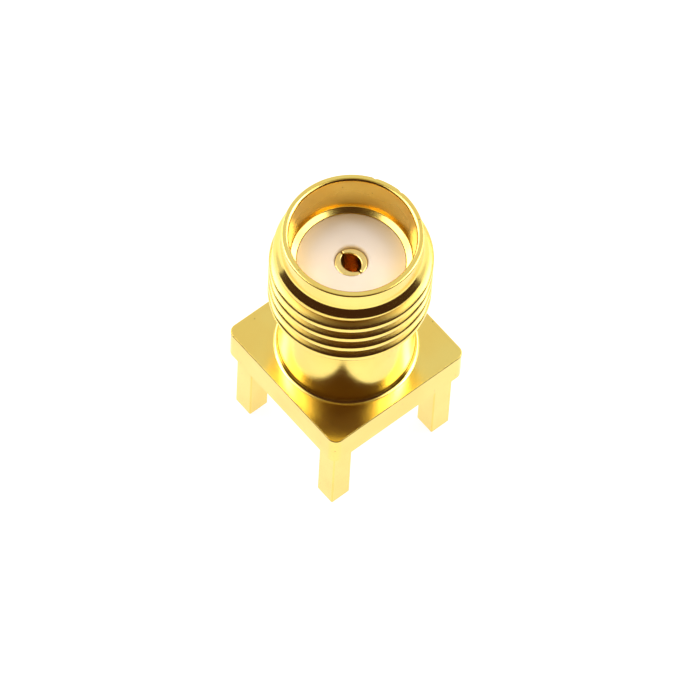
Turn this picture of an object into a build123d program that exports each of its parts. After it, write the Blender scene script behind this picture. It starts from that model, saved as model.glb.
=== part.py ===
from build123d import *
from math import isclose, radians, tan
import os

os.makedirs("parts", exist_ok=True)

# Straight female coaxial jack for a circuit board, standing on four legs.
# Millimetres, +Z along the barrel. The origin is on the barrel's axis, in the plane
# where the flange sits on the board. Flange sides run along X and Y.

# Driving dimensions of the turned and milled body
leg_pitch = 5.08
leg_side = 0.9
leg_length = 3.86
leg_edge_radius = 0.06
leg_tip_chamfer = 0.05
leg_inset = 0.31
flange_thickness = 1.5
flange_corner_radius = 0.38
flange_edge_break = 0.05
barrel_height = 8.0
neck_diameter = 5.36
neck_root_fillet = 0.26
thread_major_diameter = 6.3
thread_full_length = 2.83
thread_pitch = 25.4 / 36
thread_depth = 0.4
thread_crest_flat = 0.14
thread_flank_angle = 60
thread_groove_lead_in = 0.412
thread_groove_proud = 0.1
pilot_diameter = 5.44
pilot_length = 0.9
pilot_edge_chamfer = 0.03
socket_diameter = 4.68
socket_depth = 1.86
socket_floor_angle = 30
socket_mouth_chamfer = 0.12

# Driving dimensions of the insulator and the centre contact
insulator_diameter = 4.2
insulator_setback = 0.1
contact_diameter = 1.27
contact_recess = 0.14
collar_diameter = 1.6
collar_height = 2.2
collar_length = 0.5
pin_hole_diameter = 0.98
pin_hole_beyond_slot = 0.5
tine_length = 2.6
tine_closing = 0.14
slot_width = 0.32
tail_diameter = 0.9
tail_length = 3.5
tail_tip_chamfer = 0.15

# Radial gaps between pieces that are pressed together
insulator_gap = 0.01
contact_gap = 0.015

# Two edges closer than this count as the same
same_size = 1e-4

# Widths and radii
flange_side = leg_pitch + leg_side + 2 * leg_inset
leg_tip_side = leg_side - 2 * leg_tip_chamfer
leg_tip_edge_radius = leg_edge_radius * leg_tip_side / leg_side
neck_radius = neck_diameter / 2
thread_radius = thread_major_diameter / 2
groove_root_radius = thread_radius - thread_depth
groove_outer_radius = thread_radius + thread_groove_proud
groove_half_width = (thread_pitch - thread_crest_flat) / 2
groove_root_half_width = groove_half_width - thread_depth / tan(radians(thread_flank_angle))
groove_outer_half_width = groove_half_width + thread_groove_proud / tan(radians(thread_flank_angle))
pilot_radius = pilot_diameter / 2
socket_radius = socket_diameter / 2
socket_mouth_radius = socket_radius + socket_mouth_chamfer
insulator_radius = insulator_diameter / 2
insulator_bore_radius = insulator_radius + insulator_gap
contact_radius = contact_diameter / 2
collar_radius = collar_diameter / 2
pin_hole_radius = pin_hole_diameter / 2
tail_radius = tail_diameter / 2

# Heights above the board, with a 45 degree flank at each end of the thread
rim_height = flange_thickness + barrel_height
thread_start_height = rim_height - pilot_length
thread_top_height = thread_start_height - (thread_radius - pilot_radius)
thread_bottom_height = thread_top_height - thread_full_length
neck_top_height = thread_bottom_height - (thread_radius - neck_radius)
socket_floor_height = rim_height - socket_depth
socket_floor_rise = (socket_radius - insulator_bore_radius) * tan(radians(socket_floor_angle))
socket_wall_bottom_height = socket_floor_height + socket_floor_rise
socket_mouth_height = rim_height - socket_mouth_chamfer
contact_top_height = socket_floor_height - contact_recess
slot_root_height = contact_top_height - tine_length
collar_top_height = collar_height + collar_length
groove_bottom_height = neck_top_height - thread_groove_lead_in
groove_rise = thread_start_height - neck_top_height + 2 * thread_groove_lead_in
leg_chamfer_height = leg_tip_chamfer - leg_length


def collared_rod(bottom_height, top_height, gap):
    """Corners of the contact's rod with its retaining collar, grown by a radial gap."""
    return [
        (contact_radius + gap, bottom_height),
        (contact_radius + gap, collar_height),
        (collar_radius + gap, collar_height),
        (collar_radius + gap, collar_top_height),
        (contact_radius + gap, collar_top_height),
        (contact_radius + gap, top_height),
        (0, top_height),
    ]


def draw_pinched_circle(radius, pinch):
    """Two equal arcs that make a circle whose halves are moved towards each other by the pinch."""
    half_width = (radius**2 - pinch**2) ** 0.5
    ThreePointArc((-half_width, 0), (0, radius - pinch), (half_width, 0))
    ThreePointArc((half_width, 0), (0, pinch - radius), (-half_width, 0))


def circles_at(part, height, radius):
    """Round edges of a part at one height and radius."""
    circles = part.edges().filter_by(GeomType.CIRCLE)
    level = circles.filter_by(lambda edge: isclose(edge.arc_center.Z, height, abs_tol=same_size))
    return level.filter_by(lambda edge: isclose(edge.radius, radius, abs_tol=same_size))


# One square leg under the flange, with its tip chamfered
with BuildPart() as leg:
    with BuildSketch(Plane.XY):
        RectangleRounded(leg_side, leg_side, leg_edge_radius)
    extrude(amount=leg_chamfer_height)
    with BuildSketch(Plane.XY.offset(leg_chamfer_height)):
        RectangleRounded(leg_side, leg_side, leg_edge_radius)
    with BuildSketch(Plane.XY.offset(-leg_length)):
        RectangleRounded(leg_tip_side, leg_tip_side, leg_tip_edge_radius)
    loft()

# Groove of the right-hand thread, standing proud of the land and running past both flanks
with BuildPart() as thread_groove:
    with BuildLine():
        groove_path = Helix(thread_pitch, groove_rise, thread_radius, center=(0, 0, groove_bottom_height))
    with BuildSketch(Plane.XZ):
        with BuildLine():
            Polyline(
                (groove_root_radius, groove_bottom_height + groove_root_half_width),
                (groove_outer_radius, groove_bottom_height + groove_outer_half_width),
                (groove_outer_radius, groove_bottom_height - groove_outer_half_width),
                (groove_root_radius, groove_bottom_height - groove_root_half_width),
                close=True,
            )
        make_face()
    sweep(path=groove_path, is_frenet=True)

# Body: square flange, barrel and four legs, cut from one bar
with BuildPart() as body:
    with BuildSketch(Plane.XY):
        RectangleRounded(flange_side, flange_side, flange_corner_radius)
    extrude(amount=flange_thickness)
    chamfer(body.faces().filter_by(Axis.Z).edges(), length=flange_edge_break)

    # Barrel section: neck, thread land with both flanks, pilot nose
    with BuildSketch(Plane.XZ):
        with BuildLine():
            Polyline(
                (0, 0),
                (neck_radius, 0),
                (neck_radius, neck_top_height),
                (thread_radius, thread_bottom_height),
                (thread_radius, thread_top_height),
                (pilot_radius, thread_start_height),
                (pilot_radius, rim_height),
                (0, rim_height),
                close=True,
            )
        make_face()
    revolve(axis=Axis.Z)
    fillet(circles_at(body, flange_thickness, neck_radius), radius=neck_root_fillet)
    chamfer(circles_at(body, rim_height, pilot_radius), length=pilot_edge_chamfer)

    # Legs on the grid of the board's holes
    with GridLocations(leg_pitch, leg_pitch, 2, 2):
        add(leg.part)

    # Socket for the mating plug, its conical floor, and the insulator's bore right through
    with BuildSketch(Plane.XZ):
        with BuildLine():
            Polyline(
                (0, 0),
                (insulator_bore_radius, 0),
                (insulator_bore_radius, socket_floor_height),
                (socket_radius, socket_wall_bottom_height),
                (socket_radius, socket_mouth_height),
                (socket_mouth_radius, rim_height),
                (0, rim_height),
                close=True,
            )
        make_face()
    revolve(axis=Axis.Z, mode=Mode.SUBTRACT)

    # Thread cut into the land, running out over both flanks
    add(thread_groove.part, mode=Mode.SUBTRACT)

body.part.label = "body"
export_step(body.part, "parts/body.step")

# Insulator: plug that fills the bore, with the contact's seat turned out of its middle
with BuildPart() as insulator:
    with BuildSketch(Plane.XY.offset(insulator_setback)):
        Circle(insulator_radius)
    extrude(amount=socket_floor_height - insulator_setback)
    with BuildSketch(Plane.XZ):
        with BuildLine():
            Polyline(
                (0, insulator_setback),
                *collared_rod(insulator_setback, socket_floor_height, contact_gap),
                close=True,
            )
        make_face()
    revolve(axis=Axis.Z, mode=Mode.SUBTRACT)

insulator.part.label = "insulator"
export_step(insulator.part, "parts/insulator.step")

# Centre contact: turned rod with a solder tail below and a slotted socket for the plug's pin on top
with BuildPart() as centre_contact:
    with BuildSketch(Plane.XZ):
        with BuildLine():
            Polyline(
                (0, -tail_length),
                (tail_radius, -tail_length),
                (tail_radius, 0),
                *collared_rod(0, contact_top_height, 0),
                close=True,
            )
        make_face()
    revolve(axis=Axis.Z)
    chamfer(circles_at(centre_contact, -tail_length, tail_radius), length=tail_tip_chamfer)

    # Pin hole, round at the slot root and an oval at the mouth where the tines are pressed together
    with BuildSketch(Plane.XY.offset(slot_root_height)):
        with BuildLine():
            draw_pinched_circle(pin_hole_radius, 0)
        make_face()
    with BuildSketch(Plane.XY.offset(contact_top_height)):
        with BuildLine():
            draw_pinched_circle(pin_hole_radius, tine_closing)
        make_face()
    loft(mode=Mode.SUBTRACT)

    # Round end of the drilled hole, below the slot
    with BuildSketch(Plane.XY.offset(slot_root_height)):
        Circle(pin_hole_radius)
    extrude(amount=-pin_hole_beyond_slot, mode=Mode.SUBTRACT)

    # Slot across both walls, narrowed at the mouth as the tines close
    with BuildSketch(Plane.YZ):
        with BuildLine():
            Polyline(
                (-slot_width / 2, slot_root_height),
                (slot_width / 2, slot_root_height),
                (slot_width / 2 - tine_closing, contact_top_height),
                (tine_closing - slot_width / 2, contact_top_height),
                close=True,
            )
        make_face()
    extrude(amount=contact_diameter, both=True, mode=Mode.SUBTRACT)

centre_contact.part.label = "centre_contact"
export_step(centre_contact.part, "parts/centre_contact.step")
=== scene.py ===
"""Dressed model and product view of a straight female coaxial board jack.

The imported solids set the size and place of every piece. The three pieces are worked out again here as
fine surfaces, so that crests, edges and lips are as softly rounded as on the real part.
Lengths are millimetres until a mesh is written, and metres from there on.
"""

import logging
import math
from dataclasses import dataclass, field
from enum import Enum, IntEnum

import bpy
import numpy as np
from mathutils import Matrix, Vector


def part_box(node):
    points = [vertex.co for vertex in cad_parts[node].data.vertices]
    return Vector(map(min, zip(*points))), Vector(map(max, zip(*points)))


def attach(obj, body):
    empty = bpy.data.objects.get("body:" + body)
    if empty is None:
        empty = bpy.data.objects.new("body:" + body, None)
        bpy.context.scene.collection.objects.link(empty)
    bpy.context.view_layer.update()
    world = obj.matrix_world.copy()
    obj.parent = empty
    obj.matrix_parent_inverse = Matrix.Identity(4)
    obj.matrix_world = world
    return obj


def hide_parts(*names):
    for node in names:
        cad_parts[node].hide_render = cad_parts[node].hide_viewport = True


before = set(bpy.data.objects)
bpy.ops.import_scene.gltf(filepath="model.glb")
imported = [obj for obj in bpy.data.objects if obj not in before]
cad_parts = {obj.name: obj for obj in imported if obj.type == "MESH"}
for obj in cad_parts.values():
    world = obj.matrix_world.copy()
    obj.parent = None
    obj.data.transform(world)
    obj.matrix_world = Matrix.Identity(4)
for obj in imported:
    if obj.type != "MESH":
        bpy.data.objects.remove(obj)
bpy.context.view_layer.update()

MM = 0.001
INCH = 25.4
THREADS_TO_THE_INCH = 36
TURN = 2.0 * math.pi
BODY = "root"
# Marks that the finishes read: turned and faced set the tool marks. Recess sets roughness and painted shade
# in the plating's hollows, the deep colour along the legs' edges, and a painted gold reflection on the resin
# near its rim.
MARKS = ("turned", "faced", "recess")

NOISE_MIDDLE = 0.5

Colour = tuple[float, float, float]
Array = np.ndarray
Material = bpy.types.Material
Object = bpy.types.Object
Socket = bpy.types.NodeSocket
Feed = Socket | float | tuple[float, ...]
log = logging.getLogger("board_jack")


# Surfaces worked out as whole arrays


@dataclass
class Patch:
    """A grid of points that becomes one skin of faces.

    Args:
        points: Array of rows x columns x 3, in millimetres. Rows follow the profile, columns go round it.
        ring_rows: True where the last row joins the first.
        cap_first: True where a flat face closes the first row.
        cap_last: True where a flat face closes the last row.
        marks: Values from 0 to 1 that finishes read, as rows x 1 or rows x columns. A mark left out is 0.
    """

    points: Array
    ring_rows: bool = False
    cap_first: bool = False
    cap_last: bool = False
    marks: dict[str, Array] = field(default_factory=dict)

    def quads(self, start: int) -> Array:
        """Corner numbers of every face of the grid, wound so that they face outwards.

        Args:
            start: Number of the grid's first vertex in the whole mesh.

        Returns:
            Array of faces x 4.
        """
        rows, columns = self.points.shape[:2]
        index = start + np.arange(rows * columns).reshape(rows, columns)
        below = index if self.ring_rows else index[:-1]
        above = np.roll(index, -1, axis=0) if self.ring_rows else index[1:]
        corners = (below, np.roll(below, -1, axis=1), np.roll(above, -1, axis=1), above)
        return np.stack(corners, axis=-1).reshape(-1, 4)

    def mark(self, name: str) -> Array:
        """One mark's value at every vertex."""
        values = self.marks.get(name, np.zeros((1, 1)))
        return np.broadcast_to(values, self.points.shape[:2]).ravel().astype(np.float32)

    def caps(self, start: int) -> list[list[int]]:
        """Flat end faces of the grid, as lists of corner numbers.

        Args:
            start: Number of the grid's first vertex in the whole mesh.

        Returns:
            One list for each capped end.
        """
        rows, columns = self.points.shape[:2]
        ring = np.arange(columns)
        first = [(start + ring[::-1]).tolist()] if self.cap_first else []
        last = [(start + (rows - 1) * columns + ring).tolist()] if self.cap_last else []
        return first + last


def make_piece(name: str, patches: list[Patch], material: Material) -> Object:
    """Writes patches into one smooth mesh object at the origin.

    Args:
        name: Name of the piece.
        patches: Its skins.
        material: Its finish.

    Returns:
        The new object, linked to the scene.
    """
    counts = np.array([patch.points.shape[0] * patch.points.shape[1] for patch in patches])
    starts = np.concatenate(([0], np.cumsum(counts)[:-1]))
    points = np.concatenate([patch.points.reshape(-1, 3) for patch in patches]) * MM
    quads = np.concatenate([patch.quads(int(start)) for patch, start in zip(patches, starts)])
    caps = [cap for patch, start in zip(patches, starts) for cap in patch.caps(int(start))]
    mesh = bpy.data.meshes.new(name)
    mesh.from_pydata(points, [], quads.tolist() + caps)
    mesh.shade_smooth()
    for mark in MARKS:
        layer = mesh.attributes.new(mark, "FLOAT", "POINT")
        layer.data.foreach_set("value", np.concatenate([patch.mark(mark) for patch in patches]))
    mesh.materials.append(material)
    piece = bpy.data.objects.new(name, mesh)
    bpy.context.collection.objects.link(piece)
    return piece


def unit(vectors: Array) -> Array:
    """Vectors divided by their own lengths."""
    return vectors / np.linalg.norm(vectors, axis=-1, keepdims=True)


def round_corners(corners: Array, radii: Array, steps: int, hold: float) -> Array:
    """Rounds the corners of a closed outline.

    Each corner becomes the arc of its radius that touches both sides. The arc's points turn from one touching
    point to the other about the arc's centre. One more point on each side, a short way off, keeps the flat
    stretch flat when the mesh is shaded smooth.

    Args:
        corners: Array of corners x 2.
        radii: Radius at each corner.
        steps: Points on each arc.
        hold: Distance from an arc's end to the point that keeps the side flat.

    Returns:
        Array of corners x (steps + 2) x 2.
    """
    back = unit(np.roll(corners, 1, axis=0) - corners)
    ahead = unit(np.roll(corners, -1, axis=0) - corners)
    half = np.arccos(np.clip((back * ahead).sum(axis=1), -1.0, 1.0)) / 2.0
    reach = (radii / np.tan(half))[:, None]
    centre = corners + unit(back + ahead) * (radii / np.sin(half))[:, None]
    first = corners + back * reach
    last = corners + ahead * reach
    sweep = (math.pi - 2.0 * half)[:, None, None]
    share = np.linspace(0.0, 1.0, steps)[None, :, None]
    leaving = np.sin((1.0 - share) * sweep) * (first - centre)[:, None]
    arriving = np.sin(share * sweep) * (last - centre)[:, None]
    arcs = centre[:, None] + (leaving + arriving) / np.sin(sweep)
    return np.concatenate(((first + back * hold)[:, None], arcs, (last + ahead * hold)[:, None]), axis=1)


def soft_least(*values: Array, blend: float) -> Array:
    """Smallest of several arrays, with the change from one to another rounded over a blend length.

    It is minus the blend times the logarithm of the sum of the exponentials of minus each value over the
    blend.

    Args:
        values: Arrays that fit together.
        blend: The blend length.

    Returns:
        Array of their common shape.
    """
    stacked = np.stack(np.broadcast_arrays(*values)) / blend
    floor = stacked.min(axis=0)
    return blend * (floor - np.log(np.exp(floor - stacked).sum(axis=0)))


def soft_most(*values: Array, blend: float) -> Array:
    """Largest of several arrays, rounded in the same way."""
    return -soft_least(*(-value for value in values), blend=blend)


def smooth_step(values: Array, low: float, high: float) -> Array:
    """Step from 0 at the low value to 1 at the high one: three squares of the share less two cubes."""
    share = np.clip((values - low) / (high - low), 0.0, 1.0)
    return share**2 * (3.0 - 2.0 * share)


def full_turn(columns: int) -> Array:
    """Even angles once round the axis."""
    return np.arange(columns) * TURN / columns


def lathe(radii: Array, heights: Array, angles: Array) -> Array:
    """Points at a radius and height for every angle about Z.

    Args:
        radii: Rows, or rows x columns, of distances from the axis.
        heights: Rows, or rows x columns, of heights.
        angles: Columns of angles.

    Returns:
        Array of rows x columns x 3.
    """
    shape = (len(radii), len(angles))
    wide = np.broadcast_to(radii if radii.ndim == 2 else radii[:, None], shape)
    tall = np.broadcast_to(heights if heights.ndim == 2 else heights[:, None], shape)
    return np.stack((wide * np.cos(angles), wide * np.sin(angles), tall), axis=-1)


# Finishes


class Wiring:
    """Adds nodes to one tree and links them."""

    def __init__(self, tree: bpy.types.NodeTree) -> None:
        """Takes the tree and empties it."""
        self.tree = tree
        tree.nodes.clear()

    def node(self, kind: str, inputs: dict[int | str, Feed] | None = None, **settings) -> bpy.types.Node:
        """Adds a node.

        Args:
            kind: Blender's name of the node type.
            inputs: Values or sockets by input name or number.
            settings: Properties of the node.

        Returns:
            The new node.
        """
        made = self.tree.nodes.new(kind)
        for name, value in settings.items():
            setattr(made, name, value)
        for key, value in (inputs or {}).items():
            self.feed(made.inputs[key], value)
        return made

    def feed(self, socket: Socket, value: Feed) -> None:
        """Links a socket into an input, or sets the input to a plain value.

        Args:
            socket: The input.
            value: What goes into it.
        """
        if isinstance(value, Socket):
            self.tree.links.new(value, socket)
        else:
            socket.default_value = value

    def math(self, operation: str, *values: Feed) -> Socket:
        """Result of a Math node on one to three values or sockets."""
        return self.node("ShaderNodeMath", dict(enumerate(values)), operation=operation).outputs[0]

    def rise(self, value: Feed, low: float, high: float) -> Socket:
        """Smooth step from 0 at the low value to 1 at the high one."""
        ends = {"Value": value, "From Min": low, "From Max": high}
        return self.node("ShaderNodeMapRange", ends, interpolation_type="SMOOTHSTEP").outputs["Result"]

    def fall(self, value: Feed, low: float, high: float) -> Socket:
        """Smooth step from 1 at the low value to 0 at the high one."""
        return self.math("SUBTRACT", 1.0, self.rise(value, low, high))

    def vector(self, operation: str, inputs: dict[int | str, Feed]) -> Socket:
        """Vector that a Vector Math node works out."""
        return self.node("ShaderNodeVectorMath", inputs, operation=operation).outputs[0]

    def between(self, factor: Feed, first: Feed, second: Feed) -> Socket:
        """Value between two values or sockets."""
        return self.node("ShaderNodeMix", {0: factor, 2: first, 3: second}, data_type="FLOAT").outputs[0]

    def noise(self, vector: Feed, scale: Feed, detail: float = 2.0, roughness: float = 0.5) -> Socket:
        """Value of a three-dimensional noise at a vector."""
        inputs = {"Vector": vector, "Scale": scale, "Detail": detail, "Roughness": roughness}
        return self.node("ShaderNodeTexNoise", inputs).outputs[0]

    def attribute(self, name: str) -> Socket:
        """Value of a mesh's mark."""
        return self.node("ShaderNodeAttribute", attribute_name=name).outputs["Fac"]

    def bump(self, height: Feed, depth: float) -> Socket:
        """Normal of a surface raised by a height from 0 to 1 times a depth in millimetres."""
        inputs = {"Distance": depth * MM, "Height": height, "Strength": 1.0}
        return self.node("ShaderNodeBump", inputs).outputs[0]

    def blend(self, factor: Feed, first: Feed, second: Feed) -> Socket:
        """Colour between two colours or sockets."""
        return self.node("ShaderNodeMix", {0: factor, 6: first, 7: second}, data_type="RGBA").outputs[2]

    def position(self) -> Socket:
        """Place on the piece, in millimetres."""
        place = self.node("ShaderNodeTexCoord").outputs["Object"]
        return self.vector("SCALE", {0: place, "Scale": 1.0 / MM})

    def surface(self, shader: Socket) -> None:
        """Makes a shader the one that the material shows."""
        self.node("ShaderNodeOutputMaterial", {"Surface": shader})


class Group:
    """A shader node group that works on a position, built once and placed in several materials."""

    def __init__(self, name: str, inputs: tuple[str, ...], outputs: tuple[str, ...]) -> None:
        """Makes the group's tree and sockets.

        Args:
            name: Name of the group.
            inputs: Names of the values that it takes besides the position.
            outputs: Names of the values that it gives.
        """
        self.tree = bpy.data.node_groups.new(name, "ShaderNodeTree")
        self.wiring = Wiring(self.tree)
        socket = self.tree.interface.new_socket
        socket(name="Position", in_out="INPUT", socket_type="NodeSocketVector")
        for way, labels in (("INPUT", inputs), ("OUTPUT", outputs)):
            for label in labels:
                socket(name=label, in_out=way, socket_type="NodeSocketFloat")
        self.given = self.wiring.node("NodeGroupInput").outputs
        self.result = self.wiring.node("NodeGroupOutput").inputs

    def place(self, wiring: Wiring, inputs: dict[int | str, Feed]) -> bpy.types.NodeOutputs:
        """Puts the group into a material.

        Args:
            wiring: The material's wiring.
            inputs: Values or sockets by input name.

        Returns:
            The placed group's outputs.
        """
        return wiring.node("ShaderNodeGroup", inputs, node_tree=self.tree).outputs


def turning_marks() -> Group:
    """Fine rings that a lathe tool leaves, as a height from 0 to 1.

    The rings are a noise along the sum of radius and height, so they run round walls, faces and cones alike.
    The noise changes slowly with the direction from the axis, so that no ring is perfect.

    Returns:
        The group.
    """
    group = Group("turning_marks", ("Lines", "Waver"), ("Height",))
    wiring = group.wiring
    level = (1.0, 1.0, 0.0)
    flat = wiring.vector("MULTIPLY", {0: group.given["Position"], 1: level})
    radius = wiring.node("ShaderNodeVectorMath", {0: flat}, operation="LENGTH").outputs["Value"]
    around = wiring.vector("NORMALIZE", {0: flat})
    parts = wiring.node("ShaderNodeSeparateXYZ", {0: group.given["Position"]}).outputs
    along = wiring.math("MULTIPLY", wiring.math("ADD", radius, parts["Z"]), group.given["Lines"])
    slow = wiring.vector("SCALE", {0: around, "Scale": group.given["Waver"]})
    turn = wiring.node("ShaderNodeSeparateXYZ", {0: slow}).outputs
    place = wiring.node("ShaderNodeCombineXYZ", {"X": turn["X"], "Y": turn["Y"], "Z": along}).outputs[0]
    wiring.feed(group.result["Height"], wiring.noise(place, scale=1.0, detail=3.0, roughness=0.6))
    return group


def drawn_marks() -> Group:
    """Straight lines along Z that drawing and milling leave on the bar's flats, as a height from 0 to 1.

    The lines are a noise that is stretched along Z.

    Returns:
        The group.
    """
    group = Group("drawn_marks", ("Lines",), ("Height",))
    wiring = group.wiring
    stretch = (1.0, 1.0, 0.05)
    thin = wiring.vector("MULTIPLY", {0: group.given["Position"], 1: stretch})
    lines = wiring.noise(thin, scale=group.given["Lines"], detail=3.0, roughness=0.6)
    wiring.feed(group.result["Height"], lines)
    return group


def handling_wear() -> Group:
    """Slow clouding, short scuffs and rare pits, each from 0 to 1.

    Clouding is a low noise, scuffs are the ridge of a stretched noise where a second noise allows it, and
    pits are the middles of sparse cells.

    Returns:
        The group.
    """
    group = Group("handling_wear", ("Size",), ("Cloud", "Scuff", "Pit"))
    wiring = group.wiring
    place = wiring.vector("SCALE", {0: group.given["Position"], "Scale": group.given["Size"]})
    cloud = wiring.noise(place, scale=0.5, detail=3.0)
    wiring.feed(group.result["Cloud"], wiring.rise(cloud, low=0.3, high=0.7))
    stretch = (1.0, 0.25, 0.6)
    long = wiring.vector("MULTIPLY", {0: place, 1: stretch})
    ridge = wiring.math("ABSOLUTE", wiring.math("SUBTRACT", wiring.noise(long, scale=7.0), NOISE_MIDDLE))
    allowed = wiring.rise(wiring.noise(place, scale=1.7, detail=1.0), low=0.56, high=0.66)
    scuff = wiring.math("MULTIPLY", wiring.fall(ridge, low=0.0, high=0.012), allowed)
    wiring.feed(group.result["Scuff"], scuff)
    cells = wiring.node("ShaderNodeTexVoronoi", {"Vector": place, "Scale": 1.9}, feature="F1")
    wiring.feed(group.result["Pit"], wiring.fall(cells.outputs["Distance"], low=0.03, high=0.07))
    return group


@dataclass
class Effects:
    """The node groups that several finishes share."""

    turning: Group = field(default_factory=turning_marks)
    drawing: Group = field(default_factory=drawn_marks)
    wear: Group = field(default_factory=handling_wear)


def start_material(name: str) -> tuple[Material, Wiring]:
    """An empty material with its wiring.

    Args:
        name: Name of the material.

    Returns:
        The material and its wiring.
    """
    material = bpy.data.materials.new(name)
    material.use_nodes = True
    return material, Wiring(material.node_tree)


def opaque(colour: Colour) -> tuple[float, float, float, float]:
    """Colour as a node wants it, with nothing showing through."""
    return (*colour, 1.0)


def grey(level: float) -> tuple[float, float, float, float]:
    """Grey as a node wants it, where 1 is white."""
    return opaque((level, level, level))


@dataclass(frozen=True)
class GoldPlate:
    """Bright gold plating over turned and drawn brass.

    Tints are shares of the deep colour, and the pits' tint is a share of a stain, the deep colour darkened.
    Each roughness is added to that of a clean face, and the grain is its spread over the tool marks. Scuffs
    and pits are in depths of the tool marks. The waver is how much a ring changes on its way round, and the
    wear's size is how fine the wear is.

    Args:
        name: Name of the material.
        bright: Colour of the clean plating.
        deep: Colour of clouded areas, and of the painted shade where the recess mark is high.
        roughness: Roughness of a clean turned face.
        lines: Tool marks to the millimetre.
        mark_depth: Depth of the tool marks, in millimetres.
        facing: How many times deeper the marks are on the rim's face.
        root_roughness: How much rougher the thread's roots are.
    """

    name: str
    bright: Colour
    deep: Colour
    roughness: float
    lines: float
    mark_depth: float
    facing: float = 5.0
    root_roughness: float = 0.4
    waver: float = 0.6
    wear_size: float = 1.0
    cloud_tint: float = 0.25
    recess_shade_share: float = 0.75
    pit_tint: float = 0.7
    stain: float = 0.3
    grain: float = 0.06
    cloud_roughness: float = 0.05
    scuff_roughness: float = 0.06
    scuff_depth: float = 0.5
    pit_depth: float = 2.0

    def material(self, effects: Effects) -> Material:
        """Builds the material from the shared effects.

        Args:
            effects: The node groups.

        Returns:
            The material.
        """
        material, wiring = start_material(self.name)
        place = wiring.position()
        turned, faced, recess = (wiring.attribute(mark) for mark in MARKS)
        cutting = {"Position": place, "Lines": self.lines}
        rings = effects.turning.place(wiring, {**cutting, "Waver": self.waver})["Height"]
        straight = effects.drawing.place(wiring, cutting)["Height"]
        wear = effects.wear.place(wiring, {"Position": place, "Size": self.wear_size})
        lay = wiring.between(turned, straight, rings)
        # Painted shade: the recess mark blends the deep colour into hollows, such as the thread's roots, the
        # socket's wall and the contact's hole.
        painted_recess_shade = wiring.math("MULTIPLY", recess, self.recess_shade_share)
        cloud_and_shade = wiring.math("MULTIPLY_ADD", wear["Cloud"], self.cloud_tint, painted_recess_shade)
        tone = wiring.blend(cloud_and_shade, opaque(self.bright), opaque(self.deep))
        pitted = wiring.math("MULTIPLY", wear["Pit"], self.pit_tint)
        stain = (*(self.stain * part for part in self.deep), 1.0)
        grain = wiring.math("MULTIPLY_ADD", lay, self.grain, self.roughness - self.grain / 2.0)
        hidden = wiring.math("MULTIPLY_ADD", recess, self.root_roughness, grain)
        scuffed = wiring.math("MULTIPLY_ADD", wear["Scuff"], self.scuff_roughness, hidden)
        cut = wiring.math("MULTIPLY", lay, wiring.math("MULTIPLY_ADD", faced, self.facing - 1.0, 1.0))
        pits = wiring.math("MULTIPLY", wear["Pit"], self.pit_depth)
        lost = wiring.math("MULTIPLY_ADD", wear["Scuff"], self.scuff_depth, pits)
        height = wiring.math("SUBTRACT", cut, lost)
        shader = wiring.node("ShaderNodeBsdfPrincipled", {
            "Base Color": wiring.blend(pitted, tone, stain),
            "Metallic": 1.0,
            "Roughness": wiring.math("MULTIPLY_ADD", wear["Cloud"], self.cloud_roughness, scuffed),
            "Normal": wiring.bump(height, self.mark_depth),
        })
        wiring.surface(shader.outputs[0])
        return material


@dataclass(frozen=True)
class TurnedResin:
    """Waxy white fluoropolymer with faint rings from the lathe.

    The painted gold glow's start and end are shares of the way out from the hole. Grain, waver and the wear's
    size are as in the plating.

    Args:
        name: Name of the material.
        pale: Colour of most of it.
        shade: Colour of its clouded areas.
        roughness: Roughness of its skin.
        lines: Tool marks to the millimetre.
        mark_depth: Depth of the tool marks, in millimetres.
        edge: Painted reflection near its rim: a warm colour standing in for the light that the gold bore
            throws on it.
    """

    name: str
    pale: Colour
    shade: Colour
    roughness: float
    lines: float
    mark_depth: float
    edge: Colour = (0.86, 0.7, 0.45)
    glow_start: float = 0.45
    glow_end: float = 1.15
    waver: float = 0.4
    wear_size: float = 1.3
    grain: float = 0.1
    ior: float = 1.36

    def material(self, effects: Effects) -> Material:
        """Builds the material from the shared effects.

        Args:
            effects: The node groups.

        Returns:
            The material.
        """
        material, wiring = start_material(self.name)
        place = wiring.position()
        cutting = {"Position": place, "Lines": self.lines, "Waver": self.waver}
        rings = effects.turning.place(wiring, cutting)["Height"]
        wear = effects.wear.place(wiring, {"Position": place, "Size": self.wear_size})
        skin = wiring.blend(wear["Cloud"], opaque(self.pale), opaque(self.shade))
        # Painted reflection: the resin turns warm towards its rim, in place of light from the gold bore.
        thin = wiring.rise(wiring.attribute("recess"), self.glow_start, self.glow_end)
        tone = wiring.blend(thin, skin, opaque(self.edge))
        rough = wiring.math("MULTIPLY_ADD", rings, self.grain, self.roughness - self.grain / 2.0)
        height = wiring.math("SUBTRACT", rings, wear["Scuff"])
        shader = wiring.node("ShaderNodeBsdfPrincipled", {
            "Base Color": tone,
            "Roughness": rough,
            "IOR": self.ior,
            "Normal": wiring.bump(height, self.mark_depth),
        })
        wiring.surface(shader.outputs[0])
        return material


class Finish(Enum):
    """The finishes of the jack's pieces."""

    SHELL = GoldPlate("gold_plated_shell", (0.97, 0.75, 0.2), (0.95, 0.54, 0.06), 0.145, 14.0, 0.0006)
    CONTACT = GoldPlate(
        "gold_plated_contact", (0.95, 0.72, 0.26), (0.72, 0.42, 0.1), 0.2, 18.0, 0.0005, root_roughness=0.0
    )
    RESIN = TurnedResin("white_resin", (0.81, 0.73, 0.655), (0.78, 0.695, 0.61), 0.42, 9.0, 0.0008)


# Pieces of the jack


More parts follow.
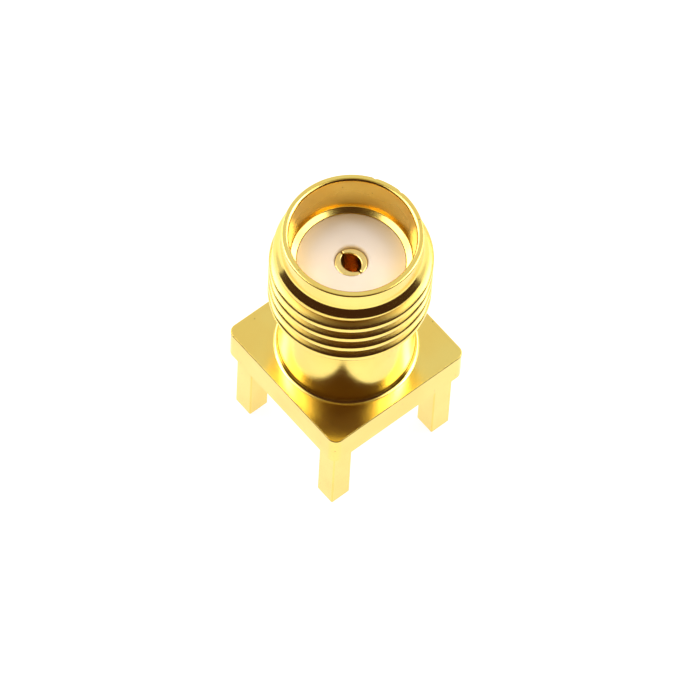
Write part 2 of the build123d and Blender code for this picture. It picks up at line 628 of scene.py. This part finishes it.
@dataclass(frozen=True)
class Levels:
    """Sizes that more than one piece uses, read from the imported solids, in millimetres."""

    rim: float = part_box("body")[1][2] / MM
    leg_tip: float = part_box("body")[0][2] / MM
    flange_half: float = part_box("body")[1][0] / MM
    floor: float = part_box("insulator")[1][2] / MM
    resin_bottom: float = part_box("insulator")[0][2] / MM
    resin_radius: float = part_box("insulator")[1][0] / MM
    contact_top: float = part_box("centre_contact")[1][2] / MM
    tail_tip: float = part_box("centre_contact")[0][2] / MM


class Corner(IntEnum):
    """Corners of the body's outline that are named, counted from the bore's foot."""

    FLANGE = 1
    NECK_FOOT = 5
    NECK_TOP = 6
    RIM = 7
    MOUTH = 8
    SOCKET_FLOOR = 9


@dataclass
class Shell:
    """Gold-plated body: square flange, neck, coupling thread, pilot nose, socket and four legs.

    All fields are millimetres, except the angles, which are radians, the counts of columns, steps and rows,
    the wall's painted shade and the pull towards the corners.
    """

    levels: Levels
    flange_thickness: float = 1.5
    corner_radius: float = 0.38
    edge_break: float = 0.025
    bore_gap: float = 0.01
    neck_radius: float = 2.68
    neck_top_radius: float = 2.5
    root_fillet: float = 0.18
    major_radius: float = 3.15
    groove_depth: float = 0.4
    crest_flat: float = 0.27
    flank_angle: float = math.radians(60.0)
    pitch: float = INCH / THREADS_TO_THE_INCH
    pilot_radius: float = 2.72
    pilot_length: float = 0.9
    thread_length: float = 2.83
    crest_height: float = 7.66
    crest_angle: float = math.radians(-42.5)
    groove_top: float = 8.48
    run_in_low: float = 8.0
    run_in_high: float = 8.25
    run_in_cut: float = 0.16
    rim_outer_round: float = 0.06
    rim_inner_round: float = 0.12
    socket_fillet: float = 0.05
    nick_angles: tuple[float, ...] = (math.radians(122.0), math.radians(97.5))
    nick_depth: float = 0.04
    nick_width: float = 0.025
    mouth_radius: float = 2.44
    socket_radius: float = 2.34
    socket_floor_angle: float = math.radians(25.5)
    wall_shade: float = 0.4
    crisp: float = 0.012
    thread_blend: float = 0.04
    lead_blend: float = 0.04
    hold: float = 0.008
    leg_pitch: float = 5.08
    leg_side: float = 0.9
    leg_edge: float = 0.06
    leg_chamfer: float = 0.05
    leg_root: float = 0.05
    columns: int = 448
    arc_steps: int = 6
    rows_in_a_pitch: int = 22
    corner_pull: float = 0.12

    def angles(self) -> Array:
        """Angles about the axis, drawn together at the flange's corners by a sine of four times the angle."""
        even = full_turn(self.columns)
        return even + self.corner_pull * np.sin(4.0 * even)

    def square_radius(self, inset: Array, angles: Array) -> Array:
        """Distance from the axis to a rounded square.

        Along a direction it is the half side over the larger cosine, until the point passes the start of the
        corner. There it is the far root of the quadratic for the corner's circle.

        Args:
            inset: Rows of distances by which the square lies inside the flange's outline.
            angles: Columns of angles.

        Returns:
            Array of rows x columns.
        """
        half = (self.levels.flange_half - inset)[:, None]
        corner = (self.corner_radius - inset)[:, None]
        long = np.maximum(np.abs(np.cos(angles)), np.abs(np.sin(angles)))
        short = np.minimum(np.abs(np.cos(angles)), np.abs(np.sin(angles)))
        centre = half - corner
        towards = centre * (long + short)
        inside = towards**2 - (2.0 * centre**2 - corner**2)
        around = towards + np.sqrt(np.maximum(inside, 0.0))
        return np.where(half * short / long <= centre, half / long, around)

    def thread_radius(self, heights: Array, angles: Array) -> tuple[Array, Array]:
        """Radius of the coupling thread, and how deep in its groove each point lies.

        The groove climbs one pitch in each anticlockwise turn and stops at its top height. Its flanks rise
        with their slope to the flat crests, and the first crest is cut down by a smooth step over its height.
        A cone of 45 degrees ends the thread at the top and bottom. The radius never goes below the groove's
        root, the pilot or the neck.

        Args:
            heights: Rows of heights.
            angles: Columns of angles.

        Returns:
            Radii, and depths from 0 on the crests and cones to 1 in the roots, as arrays of rows x columns.
        """
        climb = (heights[:, None] - self.crest_height) / self.pitch - (angles - self.crest_angle) / TURN
        off_middle = (climb - np.floor(climb) - 0.5) * self.pitch
        stop = np.clip((self.groove_top + off_middle - heights[:, None]) / self.crest_flat, 0.0, 1.0)
        fall = ((self.pitch - self.crest_flat) / 2.0 - np.abs(off_middle)) * math.tan(self.flank_angle)
        middle = heights[:, None] - (climb - np.round(climb)) * self.pitch
        crest = self.major_radius - self.run_in_cut * smooth_step(middle, self.run_in_low, self.run_in_high)
        ridge = soft_least(crest, self.major_radius - fall * stop, blend=self.thread_blend)
        start, end = self.thread_ends()
        lead = (self.pilot_radius + start - heights)[:, None]
        runout = (self.neck_radius + heights - end)[:, None]
        upper = heights > (start + end) / 2.0
        least = np.where(upper, self.pilot_radius, self.neck_top_radius)[:, None]
        root = np.maximum(least, self.major_radius - self.groove_depth)
        grooved = soft_most(ridge, root, blend=self.thread_blend)
        cut = soft_least(grooved, lead, runout, blend=self.lead_blend)
        radius = soft_most(cut, least, blend=self.lead_blend)
        uncut = np.minimum(self.major_radius, np.maximum(np.minimum(lead, runout), least))
        return radius, np.clip((uncut - radius) / self.groove_depth, 0.0, 1.0)

    def thread_ends(self) -> tuple[float, float]:
        """Where the thread's upper and lower cones meet the pilot and the neck.

        Returns:
            The upper height and the lower one.
        """
        start = self.levels.rim - self.pilot_length
        cones = 2.0 * self.major_radius - self.pilot_radius - self.neck_radius
        return start, start - cones - self.thread_length

    def wall_bottom(self) -> float:
        """Height where the socket's wall meets its conical floor."""
        across = self.socket_radius - self.levels.resin_radius - self.bore_gap
        return self.levels.floor + across * math.tan(self.socket_floor_angle)

    def outline(self) -> tuple[Array, Array, Array]:
        """Rounded section of the body without its thread, from the bore's foot round to the bore's foot.

        Returns:
            Distances from the axis, heights, and the number of the corner that each point belongs to.
        """
        rim = self.levels.rim
        bore = self.levels.resin_radius + self.bore_gap
        half = self.levels.flange_half
        edge = self.edge_break
        top = self.flange_thickness
        neck_top = self.thread_ends()[1] - self.pitch / 2.0
        corners = np.array([
            (bore, 0.0),
            (half - edge, 0.0),
            (half, edge),
            (half, top - edge),
            (half - edge, top),
            (self.neck_radius, top),
            (self.neck_top_radius, neck_top),
            (self.pilot_radius, rim),
            (self.mouth_radius, rim),
            (self.socket_radius, self.wall_bottom()),
            (bore, self.levels.floor),
        ])
        radii = np.full(len(corners), self.crisp)
        radii[Corner.NECK_FOOT] = self.root_fillet
        radii[Corner.RIM] = self.rim_outer_round
        radii[Corner.MOUTH] = self.rim_inner_round
        radii[Corner.SOCKET_FLOOR] = self.socket_fillet
        points = round_corners(corners, radii, self.arc_steps, self.hold)
        number = np.repeat(np.arange(len(corners)), points.shape[1])
        return points[..., 0].ravel(), points[..., 1].ravel(), number

    def nicks(self, angles: Array) -> Array:
        """Depth of the small dents in the rim's edge at each angle, as a bell curve about each dent."""
        off = (angles[:, None] - np.array(self.nick_angles)) / self.nick_width
        return self.nick_depth * np.exp(-off**2).sum(axis=1)

    def barrel(self) -> Patch:
        """Flange, barrel and bore as one skin, with the thread's rows let in between neck and pilot.

        Returns:
            The closed skin with its marks.
        """
        angles = self.angles()
        distance, height, number = self.outline()
        start, end = self.thread_ends()
        margin = self.pitch / 3.0
        count = int((start - end + 2.0 * margin) / self.pitch * self.rows_in_a_pitch)
        thread_rows = np.linspace(end - margin, start + margin, count)
        thread, depth = self.thread_radius(thread_rows, angles)
        square = (number >= Corner.FLANGE) & (number < Corner.NECK_FOOT)
        inset = np.where(square, self.levels.flange_half - distance, 0.0)
        plain = np.where(square[:, None], self.square_radius(inset, angles), distance[:, None])
        plain = plain - (number == Corner.RIM)[:, None] * self.nicks(angles)
        below = number <= Corner.NECK_TOP
        faced = (number == Corner.RIM) | (number == Corner.MOUTH)
        wall = (number == Corner.MOUTH) & (height < self.levels.rim - self.rim_inner_round / 2.0)

        def let_in(rows: Array, thread_part: Array) -> Array:
            """Puts the thread's rows between those below and those above it."""
            return np.concatenate((rows[below], thread_part, rows[~below]))

        none = np.zeros((count, 1))
        # Painted shade: the deep colour on the socket's wall below the mouth, fading downwards to the floor's
        # fillet.
        tint = np.broadcast_to(self.wall_shade * wall[:, None], plain.shape)
        marks = {
            "turned": let_in(1.0 - square[:, None], none + 1.0),
            "faced": let_in(1.0 * faced[:, None], none),
            # Painted shade: the thread's depth in its groove darkens its roots.
            "recess": let_in(tint, depth),
        }
        radii = let_in(plain, thread)
        return Patch(lathe(radii, let_in(height, thread_rows), angles), ring_rows=True, marks=marks)

    def leg(self, x: float, y: float) -> Patch:
        """One square leg: a rounded square carried down from inside the flange, drawn in at its tip.

        Args:
            x: Place of its axis.
            y: Place of its axis.

        Returns:
            The leg's closed skin.
        """
        half = self.leg_side / 2.0
        side = np.array([(half, -half), (half, half), (-half, half), (-half, -half)])
        edges = np.full(len(side), self.leg_edge)
        ring = round_corners(side, edges, self.arc_steps, self.hold).reshape(-1, 2)
        tip = self.levels.leg_tip
        chamfer, hold = self.leg_chamfer, self.hold
        far = chamfer + 4.0 * hold
        rise = np.array([0.0, 0.0, hold / 2.0, chamfer - hold, chamfer + hold, far])
        heights = np.append(tip + rise, (self.leg_root - hold, self.leg_root))
        shrink = np.array([far, chamfer + hold, chamfer, hold, 0.0, 0.0, 0.0, 0.0])
        scale = 1.0 - shrink / half
        points = np.empty((len(heights), len(ring), 3))
        points[..., :2] = np.array((x, y)) + ring * scale[:, None, None]
        points[..., 2] = heights[:, None]
        # The legs' vertical edges take the recess mark, most strongly just above the tip and fading upwards,
        # so they are darker towards the floor.
        vertical_edges = np.abs(ring).min(axis=1) > half - self.leg_edge
        rise_from_tip = heights - tip
        fade = np.linspace(1.0, 0.0, len(heights)) * (rise_from_tip > 0.0)
        marks = {"recess": fade[:, None] * vertical_edges}
        return Patch(points, cap_first=True, cap_last=True, marks=marks)

    def build(self, material: Material) -> Object:
        """Makes the body with its legs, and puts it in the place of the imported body.

        Args:
            material: Its finish.

        Returns:
            The piece.
        """
        place = self.leg_pitch / 2.0
        legs = [self.leg(x, y) for x in (-place, place) for y in (-place, place)]
        piece = make_piece("shell", [self.barrel(), *legs], material)
        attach(piece, BODY)
        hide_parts("body")
        return piece


@dataclass
class Insulator:
    """White resin plug that fills the body's bore, with the contact's hole through it. Millimetres."""

    levels: Levels
    hole_radius: float = 0.65
    edge_radius: float = 0.04
    hole_edge_radius: float = 0.11
    hold: float = 0.02
    arc_steps: int = 5
    columns: int = 256

    def build(self, material: Material) -> Object:
        """Makes the plug as a rounded section carried round the axis.

        Args:
            material: Its finish.

        Returns:
            The piece.
        """
        outer, top, bottom = self.levels.resin_radius, self.levels.floor, self.levels.resin_bottom
        hole = self.hole_radius
        corners = np.array([(hole, bottom), (outer, bottom), (outer, top), (hole, top)])
        radii = np.array([self.hole_edge_radius, self.edge_radius, self.edge_radius, self.hole_edge_radius])
        section = round_corners(corners, radii, self.arc_steps, self.hold).reshape(-1, 2)
        points = lathe(section[:, 0], section[:, 1], full_turn(self.columns))
        # Share of the way out from the hole, carried as the recess mark; the resin's finish paints a warm
        # gold reflection from it near the rim.
        thin = (section[:, :1] - hole) / (outer - hole)
        skin = Patch(points, ring_rows=True, marks={"recess": thin})
        piece = make_piece("resin_insulator", [skin], material)
        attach(piece, BODY)
        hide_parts("insulator")
        return piece


@dataclass
class CentreContact:
    """Turned contact: solder tail, rod with a collar, and a drilled and slotted socket with two closed tines.

    All fields are millimetres, except the counts.
    """

    levels: Levels
    rod_radius: float = 0.635
    tail_radius: float = 0.45
    tail_chamfer: float = 0.15
    collar_radius: float = 0.8
    collar_height: float = 2.2
    collar_length: float = 0.5
    hole_radius: float = 0.49
    hole_below_slot: float = 0.5
    tine_length: float = 2.6
    tine_closing: float = 0.14
    slot_width: float = 0.32
    lip_radius: float = 0.045
    crisp: float = 0.02
    hold: float = 0.012
    columns: int = 128
    arc_steps: int = 4
    tine_rows: int = 12

    def rod(self) -> Patch:
        """Tail, rod and drilled hole as one turned skin, from the tail's tip to the hole's floor.

        Returns:
            The closed skin with its marks.
        """
        root = self.levels.contact_top - self.tine_length
        tip = self.levels.tail_tip
        collar_top = self.collar_height + self.collar_length
        corners = np.array([
            (0.0, tip),
            (self.tail_radius - self.tail_chamfer, tip),
            (self.tail_radius, tip + self.tail_chamfer),
            (self.tail_radius, 0.0),
            (self.rod_radius, 0.0),
            (self.rod_radius, self.collar_height),
            (self.collar_radius, self.collar_height),
            (self.collar_radius, collar_top),
            (self.rod_radius, collar_top),
            (self.rod_radius, root),
            (self.hole_radius, root),
            (self.hole_radius, root - self.hole_below_slot),
            (0.0, root - self.hole_below_slot),
        ])
        rounded = round_corners(corners, np.full(len(corners), self.crisp), self.arc_steps, self.hold)
        section = rounded[1:-1].reshape(-1, 2)
        points = lathe(section[:, 0], section[:, 1], full_turn(self.columns))
        inside = (section[:, 1] < root + self.crisp) & (section[:, 1] > collar_top + self.crisp)
        # Painted shade: the drilled hole's wall and floor take the deep colour.
        drilled = inside & (section[:, 0] < self.hole_radius + self.crisp)
        marks = {"turned": np.ones((1, 1)), "recess": 1.0 * drilled[:, None]}
        return Patch(points, cap_first=True, cap_last=True, marks=marks)

    def tine_section(self, trim: Array, lean: Array) -> Array:
        """Half ring that a tine's wall makes, trimmed all round and closed on the inside.

        It goes out along the rod's circle and back along the hole's circle, each from slot face to slot face.
        The hole's circle and the slot faces move towards the axis as the tine closes, and the rod's does not.

        Args:
            trim: Rows of distances by which the half ring is made smaller on every side.
            lean: Rows of distances by which its inside is moved towards the axis.

        Returns:
            Array of rows x columns x 2.
        """
        outer = (self.rod_radius - trim)[:, None]
        inner = (self.hole_radius + trim)[:, None]
        gap = (self.slot_width / 2.0 + trim)[:, None]
        shift = lean[:, None]
        share = np.linspace(0.0, 1.0, self.columns // 2)[None, :]
        start_out, start_in = np.arcsin((gap - shift) / outer), np.arcsin(gap / inner)
        turn_out = start_out + share * (math.pi - 2.0 * start_out)
        turn_in = math.pi - start_in - share * (math.pi - 2.0 * start_in)
        wide = np.concatenate((outer * np.cos(turn_out), inner * np.cos(turn_in)), axis=1)
        deep = np.concatenate((outer * np.sin(turn_out), inner * np.sin(turn_in) - shift), axis=1)
        return np.stack((wide, deep), axis=-1)

    def tine(self, side: float) -> Patch:
        """One tine: its section carried up from the slot's root, closed on the inside and rounded at its lip.

        Args:
            side: 1 for the tine towards +Y, -1 for the other.

        Returns:
            The tine's closed skin.
        """
        top = self.levels.contact_top
        root = top - self.tine_length
        lip = np.linspace(0.0, math.pi / 2.0, self.arc_steps + 2)
        straight = np.linspace(root - self.crisp, top - self.lip_radius - self.hold, self.tine_rows)
        heights = np.concatenate((straight, top - self.lip_radius * (1.0 - np.sin(lip))))
        trim = np.concatenate((np.zeros(self.tine_rows), self.lip_radius * (1.0 - np.cos(lip))))
        lean = self.tine_closing * np.clip((heights - root) / self.tine_length, 0.0, 1.0)
        section = self.tine_section(trim, lean)
        points = np.empty((*section.shape[:2], 3))
        points[..., :2] = section * side
        points[..., 2] = heights[:, None]
        # Painted shade: the tines' inner faces take the deep colour, up to the lip.
        inside = np.repeat((0.0, 1.0), self.columns // 2)[None, :]
        marks = {"turned": np.ones((1, 1)), "recess": inside * (trim == 0.0)[:, None]}
        return Patch(points, cap_first=True, cap_last=True, marks=marks)

    def build(self, material: Material) -> Object:
        """Makes the contact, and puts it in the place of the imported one.

        Args:
            material: Its finish.

        Returns:
            The piece.
        """
        piece = make_piece("centre_pin_contact", [self.rod(), self.tine(1.0), self.tine(-1.0)], material)
        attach(piece, BODY)
        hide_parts("centre_contact")
        return piece


# Stage


@dataclass
class Camera:
    """Long lens that looks down on the jack's front corner.

    Args:
        azimuth: Degrees anticlockwise round the jack, 0 where the camera looks along +Y.
        elevation: Degrees above the horizon.
        roll: Degrees by which the camera is turned anticlockwise about its own axis.
        distance: Millimetres from the pivot.
        pivot_height: Height of the pivot on the jack's axis, in millimetres.
        aim_right: Millimetres to the right of the pivot where the picture's middle lies.
        aim_up: Millimetres above the pivot where the picture's middle lies.
        lens: Focal length, in millimetres.
        near: Metres from which the camera sees.
        far: Metres up to which it sees.
    """

    azimuth: float = 47.5
    elevation: float = 59.33
    roll: float = 3.5
    distance: float = 268.6
    pivot_height: float = 5.0
    aim_right: float = 0.033
    aim_up: float = -2.08
    lens: float = 360.0
    near: float = 0.01
    far: float = 10.0

    def build(self) -> None:
        """Makes the camera and sets it as the scene's."""
        turn, rise, roll = (math.radians(value) for value in (self.azimuth, self.elevation, self.roll))
        back = Vector((math.sin(turn) * math.cos(rise), -math.cos(turn) * math.cos(rise), math.sin(rise)))
        level = Vector((math.cos(turn), math.sin(turn), 0.0))
        upright = back.cross(level)
        right = math.cos(roll) * level + math.sin(roll) * upright
        up = math.cos(roll) * upright - math.sin(roll) * level
        pivot = Vector((0.0, 0.0, self.pivot_height))
        place = pivot + back * self.distance
        aim = pivot + right * self.aim_right + up * self.aim_up
        towards = (place - aim).normalized()
        side = up.cross(towards).normalized()
        top = towards.cross(side)
        data = bpy.data.cameras.new("camera")
        data.lens = self.lens
        data.clip_start = self.near
        data.clip_end = self.far
        facing = Matrix((side, top, towards)).transposed().to_4x4()
        camera = bpy.data.objects.new("camera", data)
        camera.matrix_world = Matrix.Translation(place * MM) @ facing
        bpy.context.collection.objects.link(camera)
        bpy.context.scene.camera = camera


@dataclass(frozen=True)
class SoftBox:
    """A soft box that faces the jack.

    Args:
        name: Name of the lamp.
        turn: Degrees round the jack from the camera's azimuth.
        rise: Degrees above the horizon.
        wide: Width of its face, in metres.
        tall: Height of its face, in metres.
        level: Brightness of its face, where 1 is white.
        distance: Metres from the jack.
    """

    name: str
    turn: float
    rise: float
    wide: float
    tall: float
    level: float
    distance: float = 0.45


@dataclass(frozen=True)
class Band:
    """One tone of the arched card.

    Args:
        name: Name of the band.
        low: Elevation of its lower edge, in degrees.
        high: Elevation of its upper edge, in degrees.
        colour: Its colour.
    """

    name: str
    low: float
    high: float
    colour: Colour


@dataclass
class Studio:
    """White sweep, soft boxes on both sides, and dark cards on the camera's side and overhead.

    Lengths are metres, angles degrees and levels brightness, where 1 is white. The overhead card's lift is a
    share of the cards' radius.
    """

    floor_height: float
    azimuth: float
    floor_half: float = 3.0
    floor_glow: float = 0.92
    floor_lit: float = 0.9
    floor_seen: float = 0.25
    apron_start: float = 0.04
    apron_lift: float = 0.0002
    card_radius: float = 0.6
    card_half_turn: float = 94.0
    card_columns: int = 49
    band_rows: int = 17
    bands: tuple[Band, ...] = (
        Band("low_card", -0.3, 56.0, (0.05, 0.022, 0.016)),
        Band("warm_card", 56.0, 63.5, (0.13, 0.06, 0.012)),
        Band("high_card", 63.5, 80.0, (0.065, 0.03, 0.014)),
    )
    overhead_low: float = 70.0
    overhead_lift: float = 1.05
    overhead_rows: int = 5
    overhead_colour: Colour = (0.4, 0.34, 0.19)
    sky_level: float = 0.78
    boxes: tuple[SoftBox, ...] = (
        SoftBox("wide_box", 105.0, 60.0, 0.33, 0.16, 2.0),
        SoftBox("hot_box", 120.0, 59.0, 0.09, 0.11, 8.0, 0.44),
        SoftBox("side_box", 88.0, 42.0, 0.4, 0.15, 1.1),
        SoftBox("low_box", 115.0, 31.0, 0.34, 0.15, 4.2),
    )

    def stage_mesh(
        self, name: str, points: Array, faces: list[list[int]], material: Material
    ) -> Object:
        """A mesh that belongs to the stage and not to the jack.

        Args:
            name: Name of the object.
            points: Array of points x 3, in metres.
            faces: Corner numbers of each face.
            material: Its look.

        Returns:
            The new object, linked to the scene.
        """
        mesh = bpy.data.meshes.new(name)
        mesh.from_pydata(points, [], faces)
        mesh.materials.append(material)
        made = bpy.data.objects.new(name, mesh)
        bpy.context.collection.objects.link(made)
        return made

    def floor(self) -> None:
        """Pale floor that shows white to the camera and in the metal, and keeps the jack's soft shadow."""
        material, wiring = start_material("pale_floor")
        path = wiring.node("ShaderNodeLightPath").outputs
        mirrored = wiring.math("MAXIMUM", path["Is Glossy Ray"], path["Is Transmission Ray"])
        seen = wiring.math("MAXIMUM", path["Is Camera Ray"], mirrored)
        lit = wiring.node("ShaderNodeBsdfDiffuse", {"Color": grey(self.floor_lit)}).outputs[0]
        faint = wiring.node("ShaderNodeBsdfDiffuse", {"Color": grey(self.floor_seen)}).outputs[0]
        glow = wiring.node("ShaderNodeEmission", {"Strength": self.floor_glow}).outputs[0]
        bright = wiring.node("ShaderNodeAddShader", {0: faint, 1: glow}).outputs[0]
        wiring.surface(wiring.node("ShaderNodeMixShader", {0: seen, 1: lit, 2: bright}).outputs[0])
        half = self.floor_half
        square = np.array([(-half, -half), (half, -half), (half, half), (-half, half)])
        points = np.column_stack((square, np.full(len(square), self.floor_height)))
        self.stage_mesh("floor", points, [[0, 1, 2, 3]], material)

    def directions(self, turns: Array, rises: Array) -> Array:
        """Unit vectors towards azimuths measured from the camera's and elevations, in degrees."""
        turn, rise = np.broadcast_arrays(np.radians(self.azimuth + turns), np.radians(rises))
        return np.stack((np.sin(turn) * np.cos(rise), -np.cos(turn) * np.cos(rise), np.sin(rise)), axis=-1)

    def arc(self, rises: Array, half_turns: Array) -> Array:
        """Rows of points on the cards' sphere.

        Args:
            rises: Elevations of the rows.
            half_turns: How far each row reaches to both sides of the camera's azimuth.

        Returns:
            Array of rows x columns x 3.
        """
        turns = half_turns[:, None] * np.linspace(-1.0, 1.0, self.card_columns)
        return self.card_radius * self.directions(turns, rises[:, None])

    def card(self, name: str, colour: Colour, points: Array) -> None:
        """Dark card over rows of points, which only reflections see.

        Args:
            name: Name of the card.
            colour: Its colour.
            points: Array of rows x columns x 3.
        """
        material, wiring = start_material(name)
        wiring.surface(wiring.node("ShaderNodeEmission", {"Color": opaque(colour)}).outputs[0])
        index = np.arange(points.size // 3).reshape(points.shape[:2])
        corners = (index[:-1, :-1], index[:-1, 1:], index[1:, 1:], index[1:, :-1])
        faces = np.stack(corners, axis=-1).reshape(-1, 4).tolist()
        self.stage_mesh(name, points.reshape(-1, 3), faces, material).visible_camera = False

    def cards(self) -> None:
        """Arched card in bands behind the camera, an apron over the floor, and a round card overhead.

        The arch is a half ellipse in azimuth over elevation. The apron is a flat half ring.
        """
        for band in self.bands:
            rises = np.linspace(band.low, band.high, self.band_rows)
            arch = self.card_half_turn * np.sqrt(1.0 - (rises / self.bands[-1].high) ** 2)
            self.card(band.name, band.colour, self.arc(rises, arch))
        foot = self.arc(np.zeros(1), np.full(1, self.card_half_turn))
        reach = np.array([self.apron_start / self.card_radius, 1.0])
        apron = foot * reach[:, None, None]
        apron[..., 2] = self.floor_height + self.apron_lift
        self.card("apron", self.bands[0].colour, apron)
        steep = np.linspace(self.overhead_low, 90.0, self.overhead_rows)
        dome = self.overhead_lift * self.arc(steep, np.full_like(steep, 180.0))
        self.card("overhead_card", self.overhead_colour, dome)

    def lamp(self, box: SoftBox, side: float) -> None:
        """Lights one soft box, with an energy of its level times pi times the area of its face.

        Args:
            box: The soft box.
            side: 1 for the camera's right and -1 for its left.
        """
        towards = Vector(self.directions(np.array(side * box.turn), np.array(box.rise)))
        data = bpy.data.lights.new(box.name, "AREA")
        data.shape = "RECTANGLE"
        data.size = box.wide
        data.size_y = box.tall
        data.energy = box.level * math.pi * box.wide * box.tall
        lamp = bpy.data.objects.new(box.name, data)
        lamp.location = towards * box.distance
        lamp.rotation_euler = towards.to_track_quat("Z", "Y").to_euler()
        bpy.context.collection.objects.link(lamp)

    def sky(self) -> None:
        """White surround: full white to the camera, and a little less as light and in reflections."""
        world = bpy.data.worlds.new("white_surround")
        world.use_nodes = True
        wiring = Wiring(world.node_tree)
        seen = wiring.node("ShaderNodeLightPath").outputs["Is Camera Ray"]
        strength = wiring.between(seen, self.sky_level, 1.0)
        surround = wiring.node("ShaderNodeBackground", {"Color": grey(1.0), "Strength": strength})
        wiring.node("ShaderNodeOutputWorld", {"Surface": surround.outputs[0]})
        bpy.context.scene.world = world

    def build(self) -> None:
        """Sets the whole stage."""
        bpy.context.scene.view_settings.view_transform = "Standard"
        self.floor()
        self.cards()
        for box in self.boxes:
            self.lamp(box, -1.0)
            self.lamp(box, 1.0)
        self.sky()


def main() -> None:
    """Builds the jack and its stage in order, and reports each piece."""
    logging.basicConfig(level=logging.INFO, format="%(name)s: %(message)s")
    levels = Levels()
    effects = Effects()
    pieces = [
        Shell(levels).build(Finish.SHELL.value.material(effects)),
        Insulator(levels).build(Finish.RESIN.value.material(effects)),
        CentreContact(levels).build(Finish.CONTACT.value.material(effects)),
    ]
    for piece in pieces:
        log.info("%s: %d faces", piece.name, len(piece.data.polygons))
    camera = Camera()
    camera.build()
    Studio(floor_height=levels.leg_tip * MM, azimuth=camera.azimuth).build()


if __name__ == "__main__":
    main()
